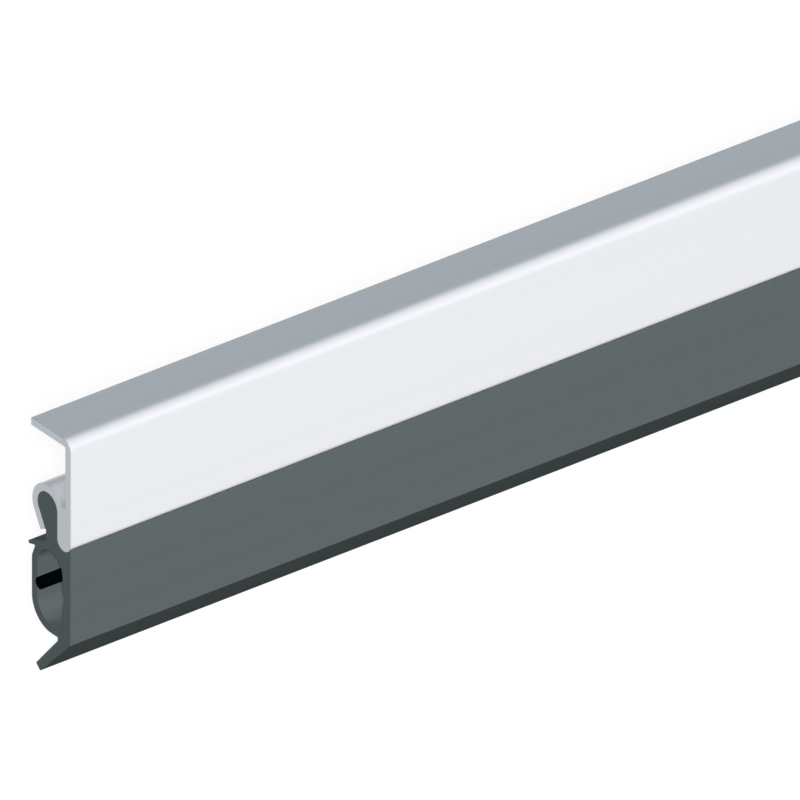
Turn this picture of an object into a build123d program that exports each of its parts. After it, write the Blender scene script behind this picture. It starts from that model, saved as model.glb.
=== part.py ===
"""Door draught strip: an aluminium carrier extrusion that grips a hollow rubber seal along its whole length.

The strip is one constant section, cut square at both ends. It lies along X and hangs on the face of a door.
Y runs from the front of the strip back to the door, and Z is up. The origin is on the back edge of the
carrier's top flange, half way along, which is where the strip meets the door.

The sections are drawn in their own two axes: the first is the depth behind the strip's front face, and the
second is the height above the top of the flange, so most heights are negative. Sizes are in millimetres.
"""
from build123d import *

import os
from math import atan2, cos, degrees, radians, sin, tan

# Whole strip
LENGTH = 1000.0

# Aluminium carrier
CARRIER_HEIGHT = 20.9
WALL = 1.4
FLANGE_DEPTH = 10.4
CORNER_RADIUS = 1.75
INNER_CORNER_RADIUS = 0.3
ROOT_DEPTH = 3.5            # thick foot of the web, in front of the channel
HOOK_LEVEL = -14.6          # height of the middle of the hook's round
HOOK_BORE = 2.6             # radius of the round channel inside the hook
HOOK_FLANK_ANGLE = 28.0     # lean of the hook's straight flank from upright
HOOK_FLANK_LENGTH = 3.6
GAP_LEVEL = 1.5             # middle of the rounded bottom of the gap, above the middle of the hook

# Rubber seal
SEAL_DROP = 16.7            # from the carrier's rounded foot down to the underside of the bulb
FRONT_LAP = 1.15            # how far the seal's front edge climbs past the bottom of the carrier's foot
SEAL_CLEARANCE = 0.05       # all round the carrier
NECK_WIDTH = 3.0
BULB_SETBACK = 0.2          # from the door's face to the back of the bulb
BULB_RADIUS = 5.1
SHOULDER_LEVEL = 14.5       # levels of the seal are above the underside of the bulb
SHOULDER_HEIGHT = 2.3
SHOULDER_SETBACK = 0.9
SHOULDER_RADIUS = 0.9
FIN_ROOT_DROP = 0.15        # from the bottom of the carrier's foot down to the start of the fin
FIN_ANGLE = 24.0
FIN_REACH = 0.75            # past the door's face, where the fin is pressed flat in use
FIN_THICKNESS = 0.55        # at its tip
FIN_TAPER = 9.0
SOFT_EDGE = 0.12            # small rounds on the thin edges of the rubber

# Hollow inside the seal
FRONT_WALL = 2.1
BACK_WALL = 1.5
BOTTOM_WALL = 1.7
ROOF_WALL = 1.7
FRONT_CORNER_RADIUS = 1.2
RELIEF_LEVEL = 7.6          # middle of a shallow groove in the front wall, across from the cord
RELIEF_DEPTH = 0.5
RELIEF_RADIUS = 2.6

# Sealing lip under the bulb
LIP_ROOT = 3.4              # depth of the lip where it leaves the bulb
LIP_NOTCH = 0.6
LIP_ANGLE = 46.0            # slope of the lip's lower face
LIP_LENGTH = 11.55
LIP_TIP_THICKNESS = 1.5

# Round cord along the back wall of the hollow
CORD_DIAMETER = 2.1
CORD_LEVEL = 7.8
CORD_SEAT = 0.6             # how deep the cord lies in its groove in the wall
CORD_CLEARANCE = 0.03

# Places worked out from the sizes above
FOOT_RADIUS = ROOT_DEPTH / 2
HOOK_CENTRE = (ROOT_DEPTH + HOOK_BORE, HOOK_LEVEL)
SEAL_BOTTOM = -CARRIER_HEIGHT - SEAL_DROP
BULB_BACK = FLANGE_DEPTH - BULB_SETBACK
HOLLOW_BACK = BULB_BACK - BACK_WALL
HOLLOW_TOP = SEAL_DROP - ROOF_WALL
CORD_DEPTH = HOLLOW_BACK + CORD_SEAT - CORD_DIAMETER / 2


def around(centre, radius, angle):
    """The point at an angle on a circle: 0 degrees looks back to the door, and 90 looks up."""
    return (centre[0] + radius * cos(radians(angle)), centre[1] + radius * sin(radians(angle)))


def arc(centre, radius, start, end):
    """A round stretch of an outline, from one angle to another."""
    middle = (start + end) / 2
    return ThreePointArc(*(around(centre, radius, angle) for angle in (start, middle, end)))


def on_flank(radius, down):
    """The point this far down the hook's straight flank, which continues a round of this radius."""
    top = around(HOOK_CENTRE, radius, -HOOK_FLANK_ANGLE)
    lean = radians(HOOK_FLANK_ANGLE)
    return (top[0] - down * sin(lean), top[1] - down * cos(lean))


def filled(corners):
    """A face from corner points, each with the radius that rounds it."""
    return make_face(FilletPolyline(*corners, radius=list(corners.values()), close=True))


def carrier_section(grown=0.0):
    """The carrier's section. Its walls are fatter all round by grown, which cuts the seat in the seal."""
    bore, outside = HOOK_BORE - grown, HOOK_BORE + WALL + grown
    flank_length = HOOK_FLANK_LENGTH + grown

    # The gap between web and hook ends in a round that touches both of them
    web_to_hook = HOOK_CENTRE[0] - WALL
    true_outside = HOOK_BORE + WALL
    gap_radius = (web_to_hook**2 + GAP_LEVEL**2 - true_outside**2) / (2 * (web_to_hook + true_outside))
    gap_centre = (WALL + gap_radius, HOOK_LEVEL + GAP_LEVEL)
    gap_angle = degrees(atan2(GAP_LEVEL, gap_centre[0] - HOOK_CENTRE[0]))
    gap_radius -= grown

    corner = (CORNER_RADIUS, -CORNER_RADIUS)
    foot = (FOOT_RADIUS, FOOT_RADIUS - CARRIER_HEIGHT)
    inner_corner = (WALL + INNER_CORNER_RADIUS, -WALL - INNER_CORNER_RADIUS)
    inner_corner_radius = INNER_CORNER_RADIUS - grown
    top_back = (FLANGE_DEPTH + grown, grown)
    under_back = (FLANGE_DEPTH + grown, -WALL - grown)

    corner_arc = arc(corner, CORNER_RADIUS + grown, 90, 180)
    foot_arc = arc(foot, FOOT_RADIUS + grown, 180, 360)
    bore_arc = arc(HOOK_CENTRE, bore, 180, -HOOK_FLANK_ANGLE)
    hook_arc = arc(HOOK_CENTRE, outside, -HOOK_FLANK_ANGLE, gap_angle)
    gap_arc = arc(gap_centre, gap_radius, gap_angle - 180, -180)
    inner_arc = arc(inner_corner, inner_corner_radius, 180, 90)
    outline = [
        Line(top_back, corner_arc @ 0),
        corner_arc,
        Line(corner_arc @ 1, foot_arc @ 0),
        foot_arc,
        Line(foot_arc @ 1, bore_arc @ 0),
        bore_arc,
        Line(bore_arc @ 1, on_flank(bore, flank_length)),
        Line(on_flank(bore, flank_length), on_flank(outside, flank_length)),
        Line(on_flank(outside, flank_length), hook_arc @ 0),
        hook_arc,
        gap_arc,
        Line(gap_arc @ 1, inner_arc @ 0),
        inner_arc,
        Line(inner_arc @ 1, under_back),
        Line(under_back, top_back),
    ]
    return make_face(outline)


def body_section():
    """Front wall, bulb and neck of the seal, before its seat and its hollow are cut.

    Heights here, and in the fin, the lip and the hollow, are above the underside of the bulb.
    """
    crown = SEAL_DROP - FIN_ROOT_DROP
    lap = SEAL_DROP + FRONT_LAP
    neck_back = ROOT_DEPTH + NECK_WIDTH
    hook_level = HOOK_LEVEL - SEAL_BOTTOM
    corners = {
        (0, 0): 0,
        (0, lap): 0,
        (FOOT_RADIUS, lap): 0,
        (FOOT_RADIUS, hook_level): 0,
        (neck_back, hook_level): 0,
        (neck_back, crown): SOFT_EDGE,
        (BULB_BACK - SHOULDER_SETBACK, SHOULDER_LEVEL): 0,
        (BULB_BACK, SHOULDER_LEVEL - SHOULDER_HEIGHT): SHOULDER_RADIUS,
        (BULB_BACK, 0): BULB_RADIUS,
    }
    return filled(corners)


def key_section():
    """The round head of the seal, drawn half way into the hook's wall: the seat's cut trims it to fit."""
    reach = HOOK_BORE + WALL / 2
    mouth = on_flank(HOOK_BORE, HOOK_FLANK_LENGTH)
    web_side = [(FOOT_RADIUS, mouth[1]), (FOOT_RADIUS, HOOK_LEVEL)]
    funnel = Polyline(*web_side, HOOK_CENTRE, on_flank(reach, 0), mouth, close=True)
    return Pos(*HOOK_CENTRE) * Circle(reach) + make_face(funnel)


def fin_section():
    """The thin fin that is pressed against the door, sloping back and down, thinner at its tip."""
    start = (ROOT_DEPTH + NECK_WIDTH, SEAL_DROP - FIN_ROOT_DROP)
    slope, under = radians(FIN_ANGLE), radians(FIN_ANGLE - FIN_TAPER)
    tip_depth = FLANGE_DEPTH + FIN_REACH
    tip = (tip_depth, start[1] - (tip_depth - start[0]) * tan(slope))
    under_tip = (tip[0] - FIN_THICKNESS * sin(slope), tip[1] - FIN_THICKNESS * cos(slope))
    under_root = (start[0], under_tip[1] + (under_tip[0] - start[0]) * tan(under))
    corners = {start: 0, tip: SOFT_EDGE, under_tip: SOFT_EDGE, under_root: 0}
    return filled(corners)


def lip_section():
    """The lip that sweeps the floor, sloping back and down from the front corner to a square tip."""
    slope = radians(LIP_ANGLE)
    low_tip = (LIP_LENGTH * cos(slope), -LIP_LENGTH * sin(slope))
    high_tip = (low_tip[0] + LIP_TIP_THICKNESS * sin(slope), low_tip[1] + LIP_TIP_THICKNESS * cos(slope))
    corners = {
        (0, BOTTOM_WALL / 2): 0,
        (0, 0): SOFT_EDGE,
        low_tip: SOFT_EDGE,
        high_tip: SOFT_EDGE,
        (LIP_ROOT, -LIP_NOTCH): SOFT_EDGE,
        (LIP_ROOT, BOTTOM_WALL / 2): 0,
    }
    return filled(corners)


def hollow_section():
    """The hollow of the bulb: a half round on top, and below it the bulb's own round at the back."""
    half_width = (HOLLOW_BACK - FRONT_WALL) / 2
    back_radius = BULB_RADIUS - BACK_WALL
    top_arc = arc((FRONT_WALL + half_width, HOLLOW_TOP - half_width), half_width, 0, 180)
    front_corner = (FRONT_WALL + FRONT_CORNER_RADIUS, BOTTOM_WALL + FRONT_CORNER_RADIUS)
    front_arc = arc(front_corner, FRONT_CORNER_RADIUS, 180, 270)
    back_arc = arc((HOLLOW_BACK - back_radius, BOTTOM_WALL + back_radius), back_radius, 270, 360)
    outline = [
        top_arc,
        Line(top_arc @ 1, front_arc @ 0),
        front_arc,
        Line(front_arc @ 1, back_arc @ 0),
        back_arc,
        Line(back_arc @ 1, top_arc @ 0),
    ]
    relief = Pos(FRONT_WALL - RELIEF_DEPTH + RELIEF_RADIUS, RELIEF_LEVEL) * Circle(RELIEF_RADIUS)
    return make_face(outline) + relief


def seal_section():
    """The rubber seal's section: one piece, less the hollow, the cord's groove and the carrier's seat."""
    groove = Pos(CORD_DEPTH, CORD_LEVEL) * Circle(CORD_DIAMETER / 2 + CORD_CLEARANCE)
    bulb = body_section() + fin_section() + lip_section() - hollow_section() - groove
    return Pos(0, SEAL_BOTTOM) * bulb + key_section() - carrier_section(SEAL_CLEARANCE)


def cord_section():
    """The round cord that lies in the groove of the bulb's back wall."""
    return Pos(CORD_DEPTH, SEAL_BOTTOM + CORD_LEVEL) * Circle(CORD_DIAMETER / 2)


def along_strip(section):
    """Carries a section along the whole strip, and sets the origin on the back edge of the flange."""
    placed = Plane.YZ * Pos(-FLANGE_DEPTH, WALL / 2) * section
    return extrude(placed, LENGTH / 2, both=True)


def main():
    """Builds the pieces and writes one file for each."""
    pieces = {
        "aluminium_carrier": along_strip(carrier_section()),
        "rubber_seal": along_strip(seal_section()),
        "bulb_cord": along_strip(cord_section()),
    }
    os.makedirs("parts", exist_ok=True)
    for name, piece in pieces.items():
        export_step(piece, f"parts/{name}.step")


if __name__ == "__main__":
    main()
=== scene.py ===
"""Looks of a door draught strip: satin anodised aluminium that grips a dark grey hollow rubber seal.

Each piece is made of outlines across the strip, carried along its length, with the sharp edges of its sawn
ends broken. The frame gives the strip's length and the carrier's depth and height, and the classes below hold
the other sizes.
"""

import logging
import math
from dataclasses import dataclass
from enum import Enum
from typing import Any, Sequence

import bpy
import numpy as np
from mathutils import Matrix, Vector
from mathutils.geometry import tessellate_polygon


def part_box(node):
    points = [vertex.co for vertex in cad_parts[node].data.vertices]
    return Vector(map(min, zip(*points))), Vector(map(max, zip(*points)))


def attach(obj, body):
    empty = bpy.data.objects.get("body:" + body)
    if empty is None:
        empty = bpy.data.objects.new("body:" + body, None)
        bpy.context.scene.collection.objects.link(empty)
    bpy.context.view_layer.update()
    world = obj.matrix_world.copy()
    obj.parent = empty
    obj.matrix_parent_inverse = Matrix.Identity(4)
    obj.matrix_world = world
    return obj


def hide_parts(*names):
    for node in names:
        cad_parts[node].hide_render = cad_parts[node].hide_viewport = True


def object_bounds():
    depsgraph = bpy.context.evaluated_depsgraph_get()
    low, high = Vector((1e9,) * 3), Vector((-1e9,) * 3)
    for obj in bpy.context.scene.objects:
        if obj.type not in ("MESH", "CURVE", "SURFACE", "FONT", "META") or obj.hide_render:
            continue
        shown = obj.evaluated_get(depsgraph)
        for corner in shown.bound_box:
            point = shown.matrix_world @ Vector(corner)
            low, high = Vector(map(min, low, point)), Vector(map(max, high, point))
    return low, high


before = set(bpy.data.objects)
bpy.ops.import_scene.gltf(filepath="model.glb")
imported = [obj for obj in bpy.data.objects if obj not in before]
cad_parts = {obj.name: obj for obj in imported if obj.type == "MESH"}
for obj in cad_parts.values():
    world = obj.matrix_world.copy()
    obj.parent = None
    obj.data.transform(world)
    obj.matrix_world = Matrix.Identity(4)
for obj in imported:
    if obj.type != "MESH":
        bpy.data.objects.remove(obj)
CAD_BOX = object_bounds()

MM = 0.001
BODY = "root"

log = logging.getLogger("draught_strip")

Point = tuple[float, float]
Colour = tuple[float, float, float]
Direction = tuple[float, float, float]
Scales = tuple[float, float, float]

# Points of an outline that are nearer than this are one.
SAME_POINT = 1e-8

# The direction from the strip to the picture's camera.
TO_CAMERA: Direction = (-0.5245, -0.6855, 0.5051)


class Slot(Enum):
    """The material slots of the strip's record."""

    ALUMINIUM = "anodised_aluminium"
    RUBBER = "grey_rubber"
    CORD = "black_cord"


class Ray(Enum):
    """The kinds of light ray that a shader can tell apart."""

    CAMERA = "Is Camera Ray"
    GLOSSY = "Is Glossy Ray"
    TRANSMISSION = "Is Transmission Ray"


class Surface(Enum):
    """The kinds of surface that a lamp can shine on."""

    MATTE = "matte"
    SHINY = "shiny"


def around(centre: Point, radius: float, angle: float) -> Point:
    """Gives the point at an angle on a circle: 0 degrees looks back to the door, and 90 looks up."""
    turn = math.radians(angle)
    return (centre[0] + radius * math.cos(turn), centre[1] + radius * math.sin(turn))


def put_in_scene(name: str, data: bpy.types.ID) -> bpy.types.Object:
    """Makes an object and links it to the scene.

    Args:
        name: The object's name.
        data: Its mesh, lamp or camera.

    Returns:
        The new object.
    """
    made = bpy.data.objects.new(name, data)
    bpy.context.scene.collection.objects.link(made)
    return made


@dataclass(frozen=True)
class Corner:
    """A corner of an outline, which a small round may soften."""

    depth: float
    height: float
    radius: float = 0.0

    @property
    def entry(self) -> Point:
        """The corner's point, where the outline comes in."""
        return (self.depth, self.height)

    @property
    def exit(self) -> Point:
        """The corner's point, where the outline goes on."""
        return (self.depth, self.height)

    def sampled(self, step: float) -> tuple[np.ndarray, np.ndarray]:
        """Gives the corner's only point, which has no normal of its own."""
        return np.array([self.entry]), np.zeros((1, 2))

    def rounded(self, before: Point, after: Point) -> "Arc | Corner":
        """Gives the arc that touches both sides of the corner.

        With h as half of the angle between the sides, the centre lies on their bisector at radius / sin h.

        Args:
            before: The point that the outline comes from.
            after: The point that it goes to.

        Returns:
            The arc, or the corner itself where it is sharp.
        """
        if self.radius == 0.0:
            return self
        here = Vector(self.entry)
        back = (Vector(before) - here).normalized()
        ahead = (Vector(after) - here).normalized()
        bisector = (back + ahead).normalized()
        half = 0.5 * back.angle(ahead)
        centre = here + bisector * (self.radius / math.sin(half))
        reach = self.radius / math.tan(half)
        start = here + back * reach - centre
        end = here + ahead * reach - centre
        from_angle = math.degrees(math.atan2(start.y, start.x))
        sweep = math.degrees(math.atan2(start.x * end.y - start.y * end.x, start.dot(end)))
        return Arc(tuple(centre), self.radius, from_angle, from_angle + sweep)


@dataclass(frozen=True)
class Arc:
    """A round stretch of an outline, from one angle to another, in degrees."""

    centre: Point
    radius: float
    start: float
    end: float

    @property
    def entry(self) -> Point:
        """The arc's first point."""
        return around(self.centre, self.radius, self.start)

    @property
    def exit(self) -> Point:
        """The arc's last point."""
        return around(self.centre, self.radius, self.end)

    def sampled(self, step: float) -> tuple[np.ndarray, np.ndarray]:
        """Samples the arc: centre + radius * (cos a, sin a) for evenly spaced angles a.

        The normal is (cos a, sin a) where the arc runs anticlockwise, and its opposite elsewhere.

        Args:
            step: The largest angle between two points, in degrees.

        Returns:
            The points and their normals.
        """
        count = 1 + max(2, math.ceil(abs(self.end - self.start) / step))
        angles = np.radians(np.linspace(self.start, self.end, count))
        spokes = np.stack([np.cos(angles), np.sin(angles)], axis=1)
        outwards = math.copysign(1.0, self.end - self.start)
        return np.array(self.centre) + self.radius * spokes, outwards * spokes

    def rounded(self, before: Point, after: Point) -> "Arc":
        """Gives the arc itself, which is round already."""
        return self


@dataclass(frozen=True)
class Bend:
    """A right-angled turn to the left, which sets in and ends slowly, as a die maker eases a corner."""

    corner: Point
    reach: float
    heading: float

    @property
    def entry(self) -> Point:
        """The bend's first point, its reach before the corner."""
        return around(self.corner, self.reach, self.heading + 180.0)

    @property
    def exit(self) -> Point:
        """The bend's last point, its reach after the corner."""
        return around(self.corner, self.reach, self.heading + 90.0)

    def sampled(self, step: float) -> tuple[np.ndarray, np.ndarray]:
        """Samples the bend.

        With t from 0 to 1 along it, its heading turns by 90 degrees * (3 t^2 - 2 t^3). Its points are the
        running sum of the unit steps in that heading, scaled so that both ends lie a reach from the corner.

        Args:
            step: The largest angle between two points, in degrees.

        Returns:
            The points and their normals.
        """
        share = np.linspace(0.0, 1.0, 1 + math.ceil(180.0 / step))
        headings = np.radians(self.heading + 90.0 * share**2 * (3.0 - 2.0 * share))
        ways = np.stack([np.cos(headings), np.sin(headings)], axis=1)
        path = np.concatenate([np.zeros((1, 2)), np.cumsum(ways[1:] + ways[:-1], axis=0)])
        path *= math.sqrt(2.0) * self.reach / np.linalg.norm(path[-1])
        return np.array(self.entry) + path, np.stack([ways[:, 1], -ways[:, 0]], axis=1)

    def rounded(self, before: Point, after: Point) -> "Bend":
        """Gives the bend itself, which is round already."""
        return self


@dataclass(frozen=True)
class Outline:
    """A closed outline of straight and round stretches, with the material on the left as it runs.

    Stretch i joins point i to the next one. The normals point out of the material.
    """

    points: np.ndarray
    start_normals: np.ndarray
    end_normals: np.ndarray

    @classmethod
    def through(cls, stops: Sequence[Corner | Arc | Bend], step: float = 3.0) -> "Outline":
        """Samples corners, arcs and bends, joined by straight stretches.

        A straight stretch (dy, dz) has the normal (dz, -dy). Where an arc starts at the last one's end, the
        two share that point.

        Args:
            stops: The corners, arcs and bends in order.
            step: The largest angle between two points of an arc, in degrees.

        Returns:
            The sampled outline.
        """
        ends = [(stops[i - 1].exit, stops[(i + 1) % len(stops)].entry) for i in range(len(stops))]
        firm = [stop.rounded(*neighbours) for stop, neighbours in zip(stops, ends)]
        places, spokes, rounds = [], [], []
        for stop in firm:
            points, normals = stop.sampled(step)
            shared = bool(places) and np.allclose(places[-1][-1], points[0], atol=SAME_POINT)
            if shared:
                rounds[-1][-1] = True
            places.append(points[shared:])
            spokes.append(normals[shared:])
            rounds.append(np.arange(shared, len(points)) < len(points) - 1)
        here, spoke, curved = (np.concatenate(part) for part in (places, spokes, rounds))
        if np.allclose(here[0], here[-1], atol=SAME_POINT):
            here, spoke, curved = here[:-1], spoke[:-1], curved[:-1]
        along = np.roll(here, -1, axis=0) - here
        square = np.stack([along[:, 1], -along[:, 0]], axis=1)
        square /= np.linalg.norm(square, axis=1, keepdims=True)
        starts = np.where(curved[:, None], spoke, square)
        finishes = np.where(curved[:, None], np.roll(spoke, -1, axis=0), square)
        return cls(here, starts, finishes)

    def inset(self) -> np.ndarray:
        """Gives the direction that moves each point one unit out of both stretches that meet there.

        For unit normals a and b it is (a + b) / (1 + a . b).

        Returns:
            The direction for each point.
        """
        before = np.roll(self.end_normals, 1, axis=0)
        both = 1.0 + np.sum(before * self.start_normals, axis=1, keepdims=True)
        return (before + self.start_normals) / both


@dataclass(frozen=True)
class StripFrame:
    """Where the strip lies: all outlines are drawn from the front and the top of its carrier."""

    length: float
    front: float
    top: float
    depth: float
    height: float

    @classmethod
    def from_node(cls, node: str) -> "StripFrame":
        """Reads the strip's place from the box of its carrier."""
        low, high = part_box(node)
        return cls(high.x - low.x, low.y, high.z, high.y - low.y, high.z - low.z)


@dataclass(frozen=True)
class CarrierSection:
    """The aluminium extrusion: a flange, a flat web with a thick rounded foot, and a hook at its back."""

    depth: float
    height: float
    wall: float = 1.4 * MM
    corner_reach: float = 2.5 * MM
    inner_corner_radius: float = 0.3 * MM
    root_depth: float = 3.5 * MM
    hook_height: float = -14.6 * MM
    bore: float = 2.6 * MM
    flank_angle: float = 28.0
    flank_length: float = 3.6 * MM
    gap_level: float = 1.5 * MM
    flank_edge: float = 0.1 * MM

    @property
    def foot_radius(self) -> float:
        """The round of the foot, as thick as the web is there."""
        return self.root_depth / 2

    @property
    def foot(self) -> Point:
        """The middle of the foot's round."""
        return (self.foot_radius, self.foot_radius - self.height)

    @property
    def hook(self) -> Point:
        """The middle of the hook's round."""
        return (self.root_depth + self.bore, self.hook_height)

    def on_flank(self, radius: float, down: float) -> Point:
        """Gives a point on the hook's straight flank, which continues its round.

        Args:
            radius: The radius of the round.
            down: How far down the flank the point lies.

        Returns:
            The point.
        """
        top = around(self.hook, radius, -self.flank_angle)
        lean = math.radians(self.flank_angle)
        return (top[0] - down * math.sin(lean), top[1] - down * math.cos(lean))

    def gap(self) -> Arc:
        """Gives the round bottom of the gap between web and hook, which touches both of them.

        For a hook of radius R whose middle is at (p, 0) from the web's back, a circle of radius g at (g, q)
        touches both where (p - g)^2 + q^2 = (R + g)^2, so g = (p^2 + q^2 - R^2) / (2 (p + R)).

        Returns:
            The arc, from the hook to the web.
        """
        outside = self.bore + self.wall
        reach = self.hook[0] - self.wall
        radius = (reach**2 + self.gap_level**2 - outside**2) / (2 * (reach + outside))
        centre = (self.wall + radius, self.hook_height + self.gap_level)
        angle = math.degrees(math.atan2(self.gap_level, centre[0] - self.hook[0]))
        return Arc(centre, radius, angle - 180.0, -180.0)

    def outline(self) -> Outline:
        """Draws the section.

        Returns:
            The outline, from the flange's back edge over the top and down the front.
        """
        outside = self.bore + self.wall
        gap = self.gap()
        inner_corner = self.wall + self.inner_corner_radius
        return Outline.through(
            [
                Corner(self.depth, -self.wall, self.flank_edge),
                Corner(self.depth, 0.0, self.flank_edge),
                Bend((0.0, 0.0), self.corner_reach, 180.0),
                Arc(self.foot, self.foot_radius, 180, 360),
                Arc(self.hook, self.bore, 180, -self.flank_angle),
                Corner(*self.on_flank(self.bore, self.flank_length), self.flank_edge),
                Corner(*self.on_flank(outside, self.flank_length), self.flank_edge),
                Arc(self.hook, outside, -self.flank_angle, gap.start + 180.0),
                gap,
                Arc((inner_corner, -inner_corner), self.inner_corner_radius, 180, 90),
            ]
        )


@dataclass(frozen=True)
class SealSection:
    """The rubber seal: a key head in the hook, a neck, a hollow bulb, a thin fin behind and a lip below.

    Levels are above the underside of the bulb.
    """

    carrier: CarrierSection
    drop: float = 16.7 * MM
    front_lap: float = 0.88 * MM
    clearance: float = 0.05 * MM
    neck_width: float = 3.0 * MM
    bulb_setback: float = 0.2 * MM
    bulb_radius: float = 5.1 * MM
    shoulder_level: float = 14.5 * MM
    shoulder_height: float = 2.3 * MM
    shoulder_setback: float = 0.9 * MM
    shoulder_radius: float = 0.9 * MM
    fin_root_drop: float = 0.15 * MM
    fin_angle: float = 24.0
    fin_reach: float = 0.75 * MM
    fin_thickness: float = 0.55 * MM
    fin_taper: float = 9.0
    soft_edge: float = 0.12 * MM
    front_wall: float = 2.1 * MM
    back_wall: float = 1.5 * MM
    bottom_wall: float = 1.7 * MM
    roof_wall: float = 1.7 * MM
    front_corner_radius: float = 1.2 * MM
    relief_level: float = 7.6 * MM
    relief_depth: float = 0.5 * MM
    relief_radius: float = 2.6 * MM
    lip_root: float = 3.4 * MM
    lip_notch: float = 0.6 * MM
    lip_angle: float = 46.0
    lip_length: float = 11.55 * MM
    lip_tip_thickness: float = 1.5 * MM
    cord_diameter: float = 2.1 * MM
    cord_level: float = 7.8 * MM
    cord_seat: float = 0.6 * MM
    cord_clearance: float = 0.03 * MM

    @property
    def bottom(self) -> float:
        """The height of the underside of the bulb."""
        return -self.carrier.height - self.drop

    @property
    def back(self) -> float:
        """The depth of the back of the bulb."""
        return self.carrier.depth - self.bulb_setback

    @property
    def hollow_back(self) -> float:
        """The depth of the hollow's back wall."""
        return self.back - self.back_wall

    @property
    def cord_middle(self) -> Point:
        """The middle of the cord."""
        depth = self.hollow_back + self.cord_seat - self.cord_diameter / 2
        return (depth, self.bottom + self.cord_level)

    def level(self, depth: float, level: float, radius: float = 0.0) -> Corner:
        """Gives a corner at a level above the underside of the bulb."""
        return Corner(depth, self.bottom + level, radius)

    def lip(self) -> list[Corner]:
        """Draws the lip.

        Returns:
            Its corners, from the front corner down to the square tip and back up to the bulb.
        """
        slope = math.radians(self.lip_angle)
        low = (self.lip_length * math.cos(slope), -self.lip_length * math.sin(slope))
        across = (self.lip_tip_thickness * math.sin(slope), self.lip_tip_thickness * math.cos(slope))
        return [
            self.level(0.0, 0.0, self.soft_edge),
            self.level(*low, self.soft_edge),
            self.level(low[0] + across[0], low[1] + across[1], self.soft_edge),
            self.level(self.lip_root, -self.lip_notch, self.soft_edge),
            self.level(self.lip_root, 0.0),
        ]

    def bulb_and_fin(self) -> list[Corner]:
        """Draws the bulb's round back, its shoulder and the fin.

        The fin's underside rises from its tip with the slope t, and the shoulder leans in by s for each unit
        up. A point u up the shoulder lies on the underside where u = rise + t * s * u.

        Returns:
            Their corners, up to the neck.
        """
        neck = self.carrier.root_depth + self.neck_width
        crown = self.drop - self.fin_root_drop
        slope = math.radians(self.fin_angle)
        under_slope = math.tan(math.radians(self.fin_angle - self.fin_taper))
        tip_depth = self.carrier.depth + self.fin_reach
        tip_level = crown - (tip_depth - neck) * math.tan(slope)
        under_depth = tip_depth - self.fin_thickness * math.sin(slope)
        under_level = tip_level - self.fin_thickness * math.cos(slope)
        shoulder_foot = self.shoulder_level - self.shoulder_height
        lean = self.shoulder_setback / self.shoulder_height
        rise = under_level + (under_depth - self.back) * under_slope - shoulder_foot
        up = rise / (1.0 - under_slope * lean)
        return [
            self.level(self.back, 0.0, self.bulb_radius),
            self.level(self.back, shoulder_foot, self.shoulder_radius),
            self.level(self.back - up * lean, shoulder_foot + up, self.soft_edge),
            self.level(under_depth, under_level, self.soft_edge),
            self.level(tip_depth, tip_level, self.soft_edge),
            self.level(neck, crown, self.soft_edge),
        ]

    def key(self) -> list[Corner | Arc]:
        """Draws the key head in the hook and the seat round the carrier's foot, a clearance away from both.

        Returns:
            Their corners and arcs, from the neck to the top of the front wall.
        """
        carrier = self.carrier
        neck = carrier.root_depth + self.neck_width
        head = carrier.bore - self.clearance
        seat = carrier.foot_radius + self.clearance
        flank_top = carrier.on_flank(head, 0.0)
        mouth = carrier.on_flank(carrier.bore, carrier.flank_length)[1]
        down = (flank_top[1] - mouth) / math.cos(math.radians(carrier.flank_angle))
        lap = -carrier.height + self.front_lap
        lap_angle = math.degrees(math.asin((lap - carrier.foot[1]) / seat))
        return [
            Corner(neck, mouth),
            Corner(*carrier.on_flank(head, down)),
            Arc(carrier.hook, head, -carrier.flank_angle, 180),
            Arc(carrier.foot, seat, 360, 180 - lap_angle),
            Corner(0.0, lap),
        ]

    def outline(self) -> Outline:
        """Draws the outer side of the seal."""
        return Outline.through([*self.lip(), *self.bulb_and_fin(), *self.key()])

    def hollow(self) -> Outline:
        """Draws the hollow.

        Returns:
            The outline: round on top, with the cord's groove behind and a shallow relief in front.
        """
        half = (self.hollow_back - self.front_wall) / 2
        top = (self.front_wall + half, -self.carrier.height - self.roof_wall - half)
        groove = self.cord_diameter / 2 + self.cord_clearance
        groove_angle = math.degrees(math.acos((self.hollow_back - self.cord_middle[0]) / groove))
        back_radius = self.bulb_radius - self.back_wall
        floor = self.bottom + self.bottom_wall
        front_radius = self.front_corner_radius
        relief_depth = self.front_wall - self.relief_depth + self.relief_radius
        relief_angle = math.degrees(math.acos((relief_depth - self.front_wall) / self.relief_radius))
        relief = (relief_depth, self.bottom + self.relief_level)
        return Outline.through(
            [
                Arc(top, half, 180, 0),
                Arc(self.cord_middle, groove, groove_angle, -groove_angle),
                Arc((self.hollow_back - back_radius, floor + back_radius), back_radius, 0, -90),
                Arc((self.front_wall + front_radius, floor + front_radius), front_radius, 270, 180),
                Arc(relief, self.relief_radius, 180 + relief_angle, 180 - relief_angle),
            ]
        )

    def cord(self) -> Outline:
        """Draws the round cord."""
        return Outline.through([Arc(self.cord_middle, self.cord_diameter / 2, 0, 360)])


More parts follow.
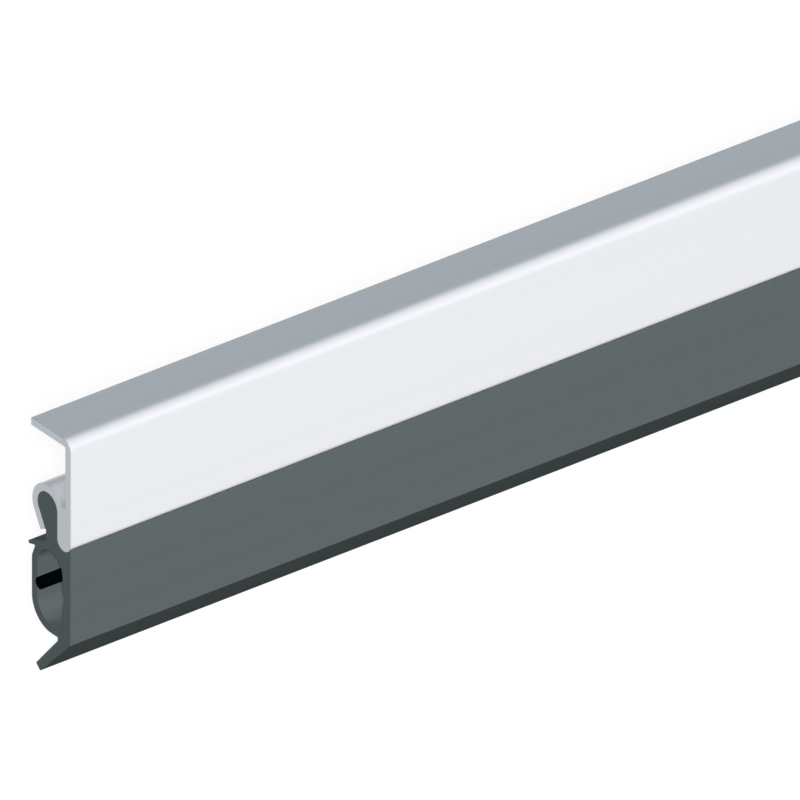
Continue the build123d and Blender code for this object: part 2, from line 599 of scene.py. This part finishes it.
@dataclass(frozen=True)
class Extrusion:
    """A piece made of outlines that are carried along the strip and closed by its two sawn ends."""

    name: str
    node: str
    slot: Slot
    place: StripFrame
    outlines: Sequence[Outline]
    edge: float
    spans: int = 20
    edge_angles: Sequence[float] = (90.0, 60.0, 30.0, 0.0)

    def stations(self) -> tuple[np.ndarray, np.ndarray, np.ndarray]:
        """Works out the cuts across the piece from one end to the other.

        At an angle a on the broken edge of an end, a cut lies edge * (1 - sin a) in from the end, its outline
        is edge * (1 - cos a) smaller, and its normal is cos a across the strip and sin a along it.

        Returns:
            For each cut, its place along X, how much smaller its outline is, and its angle a, which is
            negative at the end near -X.
        """
        angles = np.radians(np.array(self.edge_angles))
        half = self.place.length / 2
        smaller = self.edge * (1.0 - np.cos(angles))
        near = -half + self.edge * (1.0 - np.sin(angles))
        middle = np.linspace(near[-1], -near[-1], self.spans + 1)[1:-1]
        along = np.concatenate([near, middle, -near[::-1]])
        inset = np.concatenate([smaller, np.zeros(self.spans - 1), smaller[::-1]])
        tilt = np.concatenate([-angles, np.zeros(self.spans - 1), angles[::-1]])
        return along, inset, tilt

    def wall(self, outline: Outline, first: int) -> tuple[np.ndarray, np.ndarray, np.ndarray]:
        """Carries one outline along the strip.

        Point (i, j) is (x of cut j, outline point i less its inset direction times the inset of cut j).

        Args:
            outline: The outline.
            first: The number of the first vertex of this wall.

        Returns:
            The vertices, the four-sided faces, and the normal of each corner of each face.
        """
        along, inset, tilt = self.stations()
        cuts, count = len(along), len(outline.points)
        flat = outline.points[None] - inset[:, None, None] * outline.inset()[None]
        vertices = np.empty((cuts, count, 3))
        vertices[..., 0] = along[:, None]
        vertices[..., 1] = flat[..., 0] + self.place.front
        vertices[..., 2] = flat[..., 1] + self.place.top
        number = first + np.arange(cuts * count).reshape(cuts, count)
        ahead = np.roll(number, -1, axis=1)
        faces = np.stack([number[:-1], ahead[:-1], ahead[1:], number[1:]], axis=-1)
        across, lengthways = np.cos(tilt)[:, None, None], np.sin(tilt)[:, None]
        start, end = (
            self.facing(across * side[None], lengthways, count)
            for side in (outline.start_normals, outline.end_normals)
        )
        normals = np.stack([start[:-1], end[:-1], end[1:], start[1:]], axis=-2)
        return vertices.reshape(-1, 3), faces.reshape(-1, 4), normals.reshape(-1, 3)

    @staticmethod
    def facing(flat: np.ndarray, lengthways: np.ndarray, count: int) -> np.ndarray:
        """Joins a normal's share across the strip to its share along the strip."""
        along = np.broadcast_to(lengthways, (len(lengthways), count))
        return np.concatenate([along[..., None], flat], axis=-1)

    def cap(self, starts: Sequence[int], cuts: int) -> tuple[np.ndarray, np.ndarray]:
        """Fills the two ends with triangles, and leaves the hollows open.

        A triangle a, b, c in the plane (y, z) looks along +X where (b - a) x (c - a) is positive.

        Args:
            starts: The number of the first vertex of each wall.
            cuts: How many cuts each wall has.

        Returns:
            The triangles, and the normal of each of their corners.
        """
        inner = [outline.points - self.edge * outline.inset() for outline in self.outlines]
        flat = np.concatenate(inner)
        loops = [[Vector((y, z, 0.0)) for y, z in loop] for loop in inner]
        triangles = np.array(tessellate_polygon(loops))
        first, second, third = (flat[triangles[:, corner]] for corner in range(3))
        left, right = second - first, third - first
        wrong = left[:, 0] * right[:, 1] - left[:, 1] * right[:, 0] < 0
        triangles[wrong] = triangles[wrong][:, ::-1]
        near = np.concatenate([start + np.arange(len(loop)) for start, loop in zip(starts, inner)])
        last = [start + (cuts - 1) * len(loop) for start, loop in zip(starts, inner)]
        far = np.concatenate([start + np.arange(len(loop)) for start, loop in zip(last, inner)])
        faces = np.concatenate([near[triangles[:, ::-1]], far[triangles]])
        normals = np.zeros((len(faces) * 3, 3))
        normals[:, 0] = np.repeat([-1.0, 1.0], len(triangles) * 3)
        return faces, normals

    def build(self, finish: bpy.types.Material) -> bpy.types.Object:
        """Makes the piece, in place, with exact normals on its flat and round sides.

        Args:
            finish: The material of the whole piece.

        Returns:
            The new object, which rides on the strip's body and stands for its CAD node.
        """
        cuts = len(self.stations()[0])
        sizes = [cuts * len(outline.points) for outline in self.outlines]
        starts = [sum(sizes[:number]) for number in range(len(sizes))]
        walls = [self.wall(outline, start) for outline, start in zip(self.outlines, starts)]
        vertices = np.concatenate([wall[0] for wall in walls])
        quads = np.concatenate([wall[1] for wall in walls])
        triangles, cap_normals = self.cap(starts, cuts)
        normals = np.concatenate([*(wall[2] for wall in walls), cap_normals])
        mesh = bpy.data.meshes.new(self.name)
        mesh.from_pydata(vertices.tolist(), [], quads.tolist() + triangles.tolist())
        mesh.shade_smooth()
        mesh.normals_split_custom_set(normals.tolist())
        mesh.materials.append(finish)
        piece = put_in_scene(self.name, mesh)
        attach(piece, BODY)
        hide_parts(self.node)
        log.info("%s: %d vertices, %d faces", self.name, len(mesh.vertices), len(mesh.polygons))
        return piece


class Wire:
    """A socket in shader maths: an expression on wires adds the Math nodes that work it out."""

    def __init__(self, sheet: "ShaderSheet", socket: bpy.types.NodeSocket) -> None:
        """Wraps the output socket of a node on a sheet."""
        self.sheet = sheet
        self.socket = socket

    def maths(self, operation: str, *others: "Wire | float") -> "Wire":
        """Adds a Math node that reads this wire first."""
        inputs = dict(enumerate((self, *others)))
        return self.sheet.node("ShaderNodeMath", {"operation": operation}, inputs)

    def __add__(self, other: "Wire | float") -> "Wire":
        """Adds."""
        return self.maths("ADD", other)

    def __radd__(self, other: float) -> "Wire":
        """Adds, from the right."""
        return self.maths("ADD", other)

    def __sub__(self, other: "Wire | float") -> "Wire":
        """Takes away."""
        return self.maths("SUBTRACT", other)

    def __rsub__(self, other: float) -> "Wire":
        """Takes this wire from a number: -w + number."""
        return self.maths("MULTIPLY_ADD", -1.0, other)

    def __mul__(self, other: "Wire | float") -> "Wire":
        """Multiplies."""
        return self.maths("MULTIPLY", other)

    def __rmul__(self, other: float) -> "Wire":
        """Multiplies, from the right."""
        return self.maths("MULTIPLY", other)

    def __truediv__(self, other: "Wire | float") -> "Wire":
        """Divides."""
        return self.maths("DIVIDE", other)

    def __pow__(self, other: float) -> "Wire":
        """Raises to a power."""
        return self.maths("POWER", other)

    def __abs__(self) -> "Wire":
        """Drops the sign."""
        return self.maths("ABSOLUTE")

    def __gt__(self, other: "Wire | float") -> "Wire":
        """Gives 1 where this wire is greater, and 0 elsewhere."""
        return self.maths("GREATER_THAN", other)

    def __lt__(self, other: "Wire | float") -> "Wire":
        """Gives 1 where this wire is less, and 0 elsewhere."""
        return self.maths("LESS_THAN", other)

    def sine(self) -> "Wire":
        """Gives the sine of an angle in radians."""
        return self.maths("SINE")

    def root(self) -> "Wire":
        """Gives the square root."""
        return self.maths("SQRT")


class ShaderSheet:
    """The node tree of a material or world, and the one method that adds nodes to it."""

    def __init__(self, owner: bpy.types.Material | bpy.types.World) -> None:
        """Starts with an empty tree.

        Args:
            owner: The material or world that the tree belongs to.
        """
        owner.use_nodes = True
        self.tree = owner.node_tree
        self.tree.nodes.clear()

    def node(
        self,
        kind: str,
        settings: dict[str, Any] | None = None,
        inputs: dict[str | int, Any] | None = None,
        output: str | int = 0,
    ) -> Wire:
        """Adds a node.

        Args:
            kind: The node's type.
            settings: What is set on the node itself, before its sockets.
            inputs: The wire or the value of each socket, by name or number.
            output: The output that the wire comes from.

        Returns:
            The wire from that output.
        """
        made = self.tree.nodes.new(kind)
        for name, value in (settings or {}).items():
            setattr(made, name, value)
        for name, value in (inputs or {}).items():
            if isinstance(value, Wire):
                self.tree.links.new(value.socket, made.inputs[name])
            else:
                made.inputs[name].default_value = value
        return Wire(self, made.outputs[output] if made.outputs else None)

    def place(self) -> tuple[Wire, Wire, Wire, Wire]:
        """Reads the point on the piece, or the direction in the sky.

        Returns:
            The point as one vector, and as x, y and z.
        """
        whole = self.node("ShaderNodeTexCoord", output="Object")
        parts = [self.node("ShaderNodeSeparateXYZ", inputs={0: whole}, output=axis) for axis in "XYZ"]
        return whole, parts[0], parts[1], parts[2]

    def grain(self, vector: Wire, scales: Scales, detail: float = 2.0, roughness: float = 0.5) -> Wire:
        """Gives a noise from -1 to 1 with its own number of marks for each metre along x, y and z.

        Args:
            vector: The point to read.
            scales: The marks for each metre along each axis.
            detail: How many finer layers the noise has.
            roughness: How strong those layers are.

        Returns:
            The noise.
        """
        stretch = {"operation": "MULTIPLY"}
        stretched = self.node("ShaderNodeVectorMath", stretch, {0: vector, 1: scales})
        sockets = {"Vector": stretched, "Scale": 1.0, "Detail": detail, "Roughness": roughness}
        return self.node("ShaderNodeTexNoise", inputs=sockets) * 2.0 - 1.0

    def blend(self, share: Wire, low: Any, high: Any) -> Wire:
        """Gives a colour between two others, by a share from 0 to 1."""
        settings = {"data_type": "RGBA", "clamp_factor": True}
        return self.node("ShaderNodeMix", settings, {0: share, 6: low, 7: high}, output=2)

    def smooth_step(self, share: Wire) -> Wire:
        """Eases a share in and out: 3 s^2 - 2 s^3, with s held between 0 and 1.

        Args:
            share: The share.

        Returns:
            The eased share.
        """
        settings = {"operation": "ADD", "use_clamp": True}
        held = self.node("ShaderNodeMath", settings, {0: share, 1: 0.0})
        return held * held * (3.0 - 2.0 * held)

    def rays(self, *kinds: Ray) -> Wire:
        """Tells some kinds of ray from the others.

        Args:
            kinds: The kinds.

        Returns:
            1 for them, and 0 for others.
        """
        wires = [self.node("ShaderNodeLightPath", output=kind.value) for kind in kinds]
        together = wires[0]
        for wire in wires[1:]:
            together = together.maths("MAXIMUM", wire)
        return together


def rgba(colour: Colour, share: float = 1.0) -> tuple[float, float, float, float]:
    """Gives a colour, made darker or lighter by a share, as a socket wants it."""
    return (colour[0] * share, colour[1] * share, colour[2] * share, 1.0)


@dataclass(frozen=True, kw_only=True)
class Finish:
    """What the finishes share: their colour, and the marks of the die and of the saw.

    The die leaves fine lines and broader bands along the strip, and the saw leaves shallow, uneven arcs on
    its ends. The scales give the marks for each metre along x, y and z. A tone is how much lighter or darker
    than its colour a surface gets.
    """

    name: str
    colour: Colour
    # The colour of the sawn ends. Where it is darker than the colour, that is partly the cut and partly
    # painted shade on the ends.
    cut_and_shade_colour: Colour
    roughness: float
    cut_roughness: float
    half_length: float
    tone: float
    metallic: float = 0.0
    gloss: float = 0.5
    cut_tone: float = 0.03
    line_scales: Scales = (3.0, 2400.0, 2400.0)
    line_detail: float = 3.0
    line_share: float = 0.6
    line_depth: float = 0.0006 * MM
    band_scales: Scales = (1.5, 300.0, 300.0)
    fine_scales: Scales = (9000.0, 9000.0, 9000.0)
    fine_depth: float = 0.0002 * MM
    fine_roughness: float = 0.01
    shade_roughness: float = 0.03
    saw_pitch: float = 0.45 * MM
    saw_depth: float = 0.004 * MM
    saw_middle: Point = (0.09, 0.06)
    saw_share: float = 0.7
    wander_scales: Scales = (500.0, 500.0, 500.0)
    wander: float = 2.5
    chatter_scales: Scales = (4000.0, 4000.0, 4000.0)
    chatter_share: float = 0.6
    cut_margin: float = 0.06 * MM

    def saw_marks(self, sheet: ShaderSheet, y: Wire, z: Wire, whole: Wire) -> Wire:
        """Draws the saw's arcs: the sine of the distance from the blade's middle, a little uneven.

        Args:
            sheet: The material's sheet.
            y: The point's y.
            z: The point's z.
            whole: The point.

        Returns:
            Marks from -1 to 1.
        """
        reach = ((y - self.saw_middle[0]) ** 2 + (z - self.saw_middle[1]) ** 2).root()
        wander = sheet.grain(whole, self.wander_scales)
        chatter = sheet.grain(whole, self.chatter_scales)
        turns = reach * (math.tau / self.saw_pitch) + wander * self.wander
        return turns.sine() * self.saw_share + chatter * self.chatter_share

    def material(self) -> bpy.types.Material:
        """Builds the material.

        Returns:
            The material, which shows cut faces at the two ends and drawn faces elsewhere.
        """
        made = bpy.data.materials.new(self.name)
        sheet = ShaderSheet(made)
        whole, x, y, z = sheet.place()
        cut = abs(x) > (self.half_length - self.cut_margin)
        lines = sheet.grain(whole, self.line_scales, detail=self.line_detail)
        bands = sheet.grain(whole, self.band_scales)
        fine = sheet.grain(whole, self.fine_scales)
        marks = self.saw_marks(sheet, y, z, whole)
        drawn = lines * self.line_share + bands * (1.0 - self.line_share)
        shade = (1.0 - cut) * drawn + cut * marks
        share = shade * 0.5 + 0.5
        # The drawn faces' colour, with any painted light that a finish puts on its inner faces.
        drawn_colour = self.inside(sheet, y, z, self.toned(sheet, share, self.colour, self.tone))
        # The sawn ends' colour, which is partly painted shade where it is darker than the drawn faces.
        cut_and_shade_colour = self.toned(sheet, share, self.cut_and_shade_colour, self.cut_tone)
        rough = self.roughness + (self.cut_roughness - self.roughness) * cut
        rough = rough + shade * self.shade_roughness + fine * self.fine_roughness
        surface = {
            "Base Color": sheet.blend(cut, drawn_colour, cut_and_shade_colour),
            "Roughness": rough,
            "Metallic": self.metallic,
            "Specular IOR Level": self.gloss,
            "Normal": self.relief(sheet, cut, lines, marks, fine),
        }
        shader = sheet.node("ShaderNodeBsdfPrincipled", inputs=surface)
        sheet.node("ShaderNodeOutputMaterial", inputs={"Surface": shader})
        return made

    @staticmethod
    def toned(sheet: ShaderSheet, share: Wire, colour: Colour, tone: float) -> Wire:
        """Gives a colour, darker where the share is 0 and lighter where it is 1."""
        return sheet.blend(share, rgba(colour, 1 - tone), rgba(colour, 1 + tone))

    def inside(self, sheet: ShaderSheet, y: Wire, z: Wire, outside: Wire) -> Wire:
        """Gives the colour of the drawn faces: the same all over, where a finish says no more."""
        return outside

    def relief(self, sheet: ShaderSheet, cut: Wire, lines: Wire, marks: Wire, fine: Wire) -> Wire:
        """Turns the surface's marks into bumps. Their height is worked out in millimetres.

        Args:
            sheet: The material's sheet.
            cut: 1 on the sawn ends, and 0 elsewhere.
            lines: The die's lines, from -1 to 1.
            marks: The saw's marks, from -1 to 1.
            fine: The fine grain all over the surface, from -1 to 1.

        Returns:
            The normal.
        """
        drawn = (1.0 - cut) * lines * (self.line_depth / MM)
        sawn = cut * marks * (self.saw_depth / MM)
        height = drawn + sawn + fine * (self.fine_depth / MM)
        return sheet.node("ShaderNodeBump", inputs={"Strength": 1.0, "Distance": MM, "Height": height})


@dataclass(frozen=True, kw_only=True)
class AnodisedAluminium(Finish):
    """Satin, natural anodised aluminium with pale sawn ends and painted light on its inner faces.

    The sawn ends are darker than the drawn faces, partly as raw metal and partly as painted shade. The faces
    with painted light lie behind and below the inner corner of web and flange, where the recess lies in
    shade.
    """

    inner_corner: Point

    name: str = "satin_anodised_aluminium"
    colour: Colour = (0.83, 0.84, 0.87)
    # The sawn ends are darker than the drawn faces, partly as raw metal and partly as painted shade.
    cut_and_shade_colour: Colour = (0.499, 0.527, 0.557)
    # Painted light: a brighter colour on the inner faces, which stands in for light in the shaded recess
    # between web and hook.
    recess_light_colour: Colour = (0.95, 0.955, 0.97)
    roughness: float = 0.5
    cut_roughness: float = 0.55
    metallic: float = 1.0
    tone: float = 0.025

    def inside(self, sheet: ShaderSheet, y: Wire, z: Wire, outside: Wire) -> Wire:
        """Gives the colour of the drawn faces, with painted light on the inner faces of the shaded recess."""
        # Painted light: the faces behind and below the inner corner get the brighter colour, which offsets
        # their real shade.
        behind = (y > self.inner_corner[0]) * (z < self.inner_corner[1])
        return sheet.blend(behind, outside, rgba(self.recess_light_colour))


@dataclass(frozen=True, kw_only=True)
class GreyRubber(Finish):
    """Matte dark grey rubber with a faintly drawn skin."""

    name: str = "extruded_grey_rubber"
    colour: Colour = (0.1155, 0.139, 0.142)
    # The cut ends are a little darker than the skin, partly for the cut and partly as painted shade.
    cut_and_shade_colour: Colour = (0.0945, 0.1175, 0.121)
    roughness: float = 0.85
    cut_roughness: float = 0.9
    gloss: float = 0.01
    tone: float = 0.06
    line_depth: float = 0.0015 * MM
    fine_depth: float = 0.0008 * MM


@dataclass(frozen=True, kw_only=True)
class BlackCord(GreyRubber):
    """Matte black rubber cord."""

    name: str = "black_rubber_cord"
    colour: Colour = (0.001, 0.002, 0.002)
    cut_and_shade_colour: Colour = (0.0015, 0.0025, 0.0025)
    roughness: float = 0.8
    cut_roughness: float = 0.85
    gloss: float = 0.0
    tone: float = 0.2


@dataclass(frozen=True)
class DraughtStrip:
    """The whole strip: its three pieces and their finishes.

    The painted light on the carrier's inner faces starts inside its walls, at a share of their thickness from
    the outside.
    """

    place: StripFrame
    carrier_edge: float = 0.07 * MM
    rubber_edge: float = 0.05 * MM
    recess_light_share: float = 0.9

    @property
    def carrier(self) -> CarrierSection:
        """The section of the carrier."""
        return CarrierSection(self.place.depth, self.place.height)

    @property
    def seal(self) -> SealSection:
        """The section of the seal."""
        return SealSection(self.carrier)

    def pieces(self) -> list[tuple[Extrusion, Finish]]:
        """Lists the pieces.

        Returns:
            Each piece with its finish.
        """
        seal, half = self.seal, self.place.length / 2
        # The painted light on the carrier's inner faces starts this far in from its outer faces.
        reach = self.recess_light_share * self.carrier.wall
        inner_corner = (self.place.front + reach, self.place.top - reach)
        carrier = self.piece("carrier", Slot.ALUMINIUM, [self.carrier.outline()], self.carrier_edge)
        rubber = self.piece("seal", Slot.RUBBER, [seal.outline(), seal.hollow()], self.rubber_edge)
        cord = self.piece("cord", Slot.CORD, [seal.cord()], self.rubber_edge)
        return [
            (carrier, AnodisedAluminium(half_length=half, inner_corner=inner_corner)),
            (rubber, GreyRubber(half_length=half)),
            (cord, BlackCord(half_length=half)),
        ]

    def piece(self, name: str, slot: Slot, outlines: Sequence[Outline], edge: float) -> Extrusion:
        """Names one piece, and the node that it stands for."""
        nodes = {"carrier": "aluminium_carrier", "seal": "rubber_seal", "cord": "bulb_cord"}
        return Extrusion(f"drawn_{name}", nodes[name], slot, self.place, outlines, edge)

    def build(self) -> None:
        """Builds the pieces in order."""
        for extrusion, finish in self.pieces():
            extrusion.build(finish.material())


@dataclass(frozen=True)
class SoftLamp:
    """A large soft lamp, far away, that shines from one direction, on matte or on shiny surfaces."""

    name: str
    towards: Direction
    level: float
    spread: float
    on: Surface = Surface.MATTE
    through_floor: bool = False

    def build(self, floor: bpy.types.Object) -> None:
        """Makes the lamp. A level of 1 lights a surface that faces it as brightly as its colour is written.

        Args:
            floor: The floor, which doesn't stop a lamp from below that stands for light thrown up by a floor.
        """
        data = bpy.data.lights.new(self.name, "SUN")
        data.energy = self.level * math.pi
        data.angle = math.radians(self.spread)
        lamp = put_in_scene(self.name, data)
        lamp.rotation_mode = "QUATERNION"
        lamp.rotation_quaternion = Vector(self.towards).to_track_quat("Z", "Y")
        lamp.visible_diffuse = self.on is Surface.MATTE
        lamp.visible_glossy = self.on is Surface.SHINY
        if self.through_floor:
            passed = bpy.data.collections.new(f"passed_by_{self.name}")
            passed.objects.link(floor)
            passed.collection_objects[0].light_linking.link_state = "EXCLUDE"
            lamp.light_linking.blocker_collection = passed
        log.info("%s: level %.2f, %.0f degrees wide", self.name, self.level, self.spread)


@dataclass(frozen=True)
class Studio:
    """A plain pale floor, a soft sky and soft lamps.

    The sky's starts and spans are shares of a direction: y looks to the door's side, z looks up, and the
    share towards the panel is 1 at its middle. An effect begins at its start, or at 0, and is full a span on.
    """

    floor_height: float
    strip: StripFrame
    floor_half: float = 40.0
    floor_colour: Colour = (0.18, 0.18, 0.18)
    floor_glow: float = 0.88
    floor_shine: float = 0.94
    shade_reach: float = 30.0 * MM
    sky_level: float = 0.165
    sky_above: float = 0.02
    sky_fade: float = 0.7
    shine_above: Colour = (0.97, 0.98, 1.0)
    shine_behind: Colour = (0.04, 0.105, 0.13)
    behind_start: float = -0.15
    behind_span: float = 1.1
    above_span: float = 0.4
    shine_panel: Colour = (1.42, 1.42, 1.42)
    panel: Direction = (0.53, -0.848, 0.03)
    panel_start: float = 0.75
    panel_span: float = 0.22
    lamps: tuple[SoftLamp, ...] = (
        SoftLamp("key_lamp", TO_CAMERA, 1.19, 5.0),
        SoftLamp("glint_lamp", TO_CAMERA, 0.25, 20.0, Surface.SHINY),
        SoftLamp("back_lamp", (0.45, 0.80, -0.38), 0.45, 30.0, through_floor=True),
        SoftLamp("side_lamp", (0.99, -0.10, 0.06), 0.8, 40.0),
    )

    def floor(self) -> bpy.types.Object:
        """Makes the floor: pale, and lifted to white where the camera or a shiny surface looks at it.

        Mirrored, it carries painted shade close to the strip, which hides part of the sky there. With d as
        the distance from the strip's middle line, the share that is left is the smooth step of d / reach.

        Returns:
            The floor.
        """
        half, height = self.floor_half, self.floor_height
        corners = [(-half, -half, height), (half, -half, height), (half, half, height), (-half, half, height)]
        mesh = bpy.data.meshes.new("studio_floor")
        mesh.from_pydata(corners, [], [(0, 1, 2, 3)])
        made = bpy.data.materials.new("white_floor")
        sheet = ShaderSheet(made)
        seen, mirrored = sheet.rays(Ray.CAMERA, Ray.TRANSMISSION), sheet.rays(Ray.GLOSSY)
        _, x, y, _ = sheet.place()
        past = (abs(x) - self.strip.length / 2).maths("MAXIMUM", 0.0)
        aside = y - (self.strip.front + self.strip.depth / 2)
        # Painted shade: the floor's glow in reflections fades close to the strip.
        left = sheet.smooth_step((past**2 + aside**2).root() / self.shade_reach)
        lift = seen * self.floor_glow + mirrored * left * self.floor_shine
        surface = {"Base Color": rgba(self.floor_colour), "Roughness": 1.0, "Specular IOR Level": 0.0}
        surface |= {"Emission Color": lift, "Emission Strength": 1.0}
        shader = sheet.node("ShaderNodeBsdfPrincipled", inputs=surface)
        sheet.node("ShaderNodeOutputMaterial", inputs={"Surface": shader})
        mesh.materials.append(made)
        floor = put_in_scene("studio_floor", mesh)
        return floor

    def sky(self) -> None:
        """Makes the sky: white to the camera, and a low light on matte surfaces that fades upwards.

        In reflections it is darker above and behind the strip, and a wide panel is bright ahead of it on the
        right. The dark share is the smooth step of (y - start) / span times that of z / span. The panel's is
        the smooth step of (p - start) / span, where p is the direction's share towards the panel.
        """
        world = bpy.data.worlds.new("studio_sky")
        bpy.context.scene.world = world
        sheet = ShaderSheet(world)
        whole, _, y, z = sheet.place()
        behind = sheet.smooth_step((y - self.behind_start) / self.behind_span)
        dark = behind * sheet.smooth_step(z / self.above_span)
        shine = sheet.blend(dark, rgba(self.shine_above), rgba(self.shine_behind))
        product = {"operation": "DOT_PRODUCT"}
        towards = sheet.node("ShaderNodeVectorMath", product, {0: whole, 1: self.panel}, output="Value")
        near_panel = sheet.smooth_step((towards - self.panel_start) / self.panel_span)
        shine = sheet.blend(near_panel, shine, rgba(self.shine_panel))
        low, high = (rgba((level, level, level)) for level in (self.sky_level, self.sky_above))
        matte = sheet.blend(sheet.smooth_step(z / self.sky_fade), low, high)
        colour = sheet.blend(sheet.rays(Ray.GLOSSY), matte, shine)
        white = sheet.blend(sheet.rays(Ray.CAMERA, Ray.TRANSMISSION), colour, rgba((1.0, 1.0, 1.0)))
        sky = sheet.node("ShaderNodeBackground", inputs={"Color": white, "Strength": 1.0})
        sheet.node("ShaderNodeOutputWorld", inputs={"Surface": sky})

    def build(self) -> None:
        """Makes the floor, the sky and the lamps."""
        floor = self.floor()
        self.sky()
        for lamp in self.lamps:
            lamp.build(floor)


@dataclass(frozen=True)
class PictureCamera:
    """A camera with no perspective, which looks at the strip's near end from its front, from above.

    The anchor is the seal's front bottom corner at the near end, and its pixel is where the picture shows it.
    """

    anchor: Vector
    azimuth: float = -37.42
    elevation: float = 30.34
    anchor_pixel: Point = (70.0, 645.5)
    picture_pixels: int = 800
    pixel: float = 0.16 * MM
    distance: float = 1.0
    sight: float = 10.0

    def build(self) -> None:
        """Makes the camera and sets it as the scene's."""
        turn, rise = math.radians(self.azimuth), math.radians(self.elevation)
        back = Vector((math.sin(turn) * math.cos(rise), -math.cos(turn) * math.cos(rise), math.sin(rise)))
        right = Vector((math.cos(turn), math.sin(turn), 0.0))
        up = back.cross(right)
        middle = (self.picture_pixels - 1) / 2
        aside = (middle - self.anchor_pixel[0]) * self.pixel
        above = (self.anchor_pixel[1] - middle) * self.pixel
        data = bpy.data.cameras.new("picture_camera")
        data.type = "ORTHO"
        data.ortho_scale = self.picture_pixels * self.pixel
        data.clip_end = self.sight
        camera = put_in_scene("picture_camera", data)
        camera.matrix_world = Matrix((right, up, back)).transposed().to_4x4()
        camera.location = self.anchor + aside * right + above * up + self.distance * back
        bpy.context.scene.camera = camera


def main() -> None:
    """Builds the strip, its studio and the camera."""
    logging.basicConfig(level=logging.INFO, format="%(message)s")
    place = StripFrame.from_node("aluminium_carrier")
    strip = DraughtStrip(place)
    strip.build()
    Studio(floor_height=CAD_BOX[0].z, strip=place).build()
    anchor = Vector((-place.length / 2, place.front, place.top + strip.seal.bottom))
    PictureCamera(anchor).build()
    bpy.context.scene.view_settings.view_transform = "Standard"


if __name__ == "__main__":
    main()
